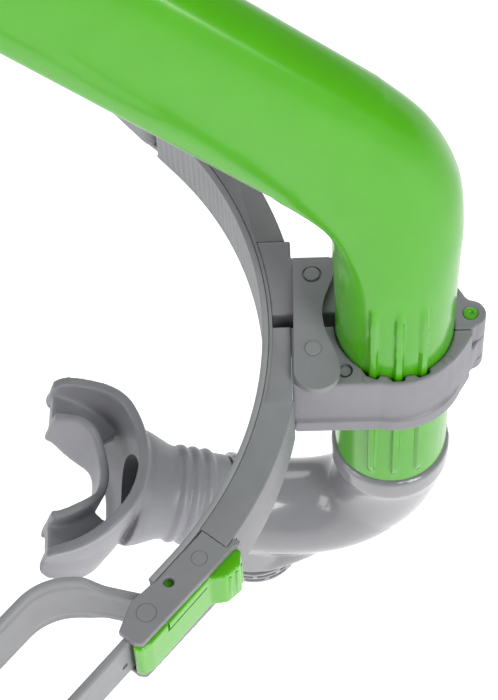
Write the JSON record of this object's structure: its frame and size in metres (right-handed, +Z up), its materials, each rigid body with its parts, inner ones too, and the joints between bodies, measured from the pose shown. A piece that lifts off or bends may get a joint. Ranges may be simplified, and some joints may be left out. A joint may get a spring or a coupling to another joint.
{
  "type": "front snorkel",
  "caption": "Front snorkel: flat swept-back breathing tube in a hinged forehead clamp, with a padded bracket, strap with squeeze buckles, purge elbow and soft mouthpiece.",
  "frame": {"origin": "middle of the forehead pad's inner face", "axes": "+X forward away from the forehead, +Y to the wearer's left, +Z up along the round part of the tube"},
  "size_m": [0.2312, 0.2141, 0.3091],
  "materials": {
    "tube_green": "glossy injection-moulded plastic",
    "pin_green": "glossy moulded plastic",
    "bracket_grey": "satin moulded plastic",
    "rivet_grey": "satin moulded plastic",
    "elbow_grey": "glossy moulded plastic",
    "pad_grey": "soft satin elastomer",
    "strap_grey": "satin silicone",
    "mouth_grey": "satin silicone",
    "valve_clear": "translucent silicone",
    "seal_black": "soft rubber",
    "bar_steel": "drawn stainless steel"
  },
  "bodies": {
    "bracket": {"head_frame": "bracket_grey", "forehead_pad": "pad_grey", "clamp_fixed_half": "bracket_grey", "clamp_seat_block": "bracket_grey", "clamp_hinge_pin": "pin_green", "latch_pivot_rivet": "rivet_grey", "right_buckle_housing": "bracket_grey", "left_buckle_housing": "bracket_grey", "right_strap_bar": "bar_steel", "left_strap_bar": "bar_steel", "head_strap": "strap_grey"},
    "clamp_gate": {"clamp_swing_half": "bracket_grey"},
    "latch": {"latch_lever": "bracket_grey", "latch_detent_pin": "rivet_grey"},
    "right_lever": {"right_buckle_lever": "tube_green"},
    "left_lever": {"left_buckle_lever": "tube_green"},
    "breathing_tube": {"main_tube": "tube_green", "elbow": "elbow_grey", "elbow_seal_ring": "seal_black", "purge_valve_seat": "elbow_grey", "purge_valve_cover": "elbow_grey", "mouthpiece": "mouth_grey"},
    "purge_flap": {"purge_valve_membrane": "valve_clear"}
  },
  "joints": [
    {"name": "tube_height", "type": "slide", "parent": "bracket", "child": "breathing_tube", "axis": [0, 0, 1], "range_m": [-0.007, 0.02]},
    {"name": "clamp_opening", "type": "hinge", "parent": "bracket", "child": "clamp_gate", "pos_m": [0.0458, 0.0028, 0], "axis": [0, 0, 1], "range_deg": [0, 50]},
    {"name": "latch_swing", "type": "hinge", "parent": "bracket", "child": "latch", "pos_m": [0.0113, 0.0128, 0.0092], "axis": [0, 0, -1], "range_deg": [0, 80]},
    {"name": "right_squeeze", "type": "hinge", "parent": "bracket", "child": "right_lever", "pos_m": [-0.02018, -0.06139, 0], "axis": [0, 0, 1], "range_deg": [0, 6.5], "stiffness_Nm_per_rad": 0.05},
    {"name": "left_squeeze", "type": "hinge", "parent": "bracket", "child": "left_lever", "pos_m": [-0.02018, 0.06139, 0], "axis": [0, 0, -1], "range_deg": [0, 6.5], "stiffness_Nm_per_rad": 0.05},
    {"name": "purge_lift", "type": "slide", "parent": "breathing_tube", "child": "purge_flap", "axis": [0, 0, -1], "range_m": [0, 0.0012], "stiffness_N_per_m": 40}
  ]
}
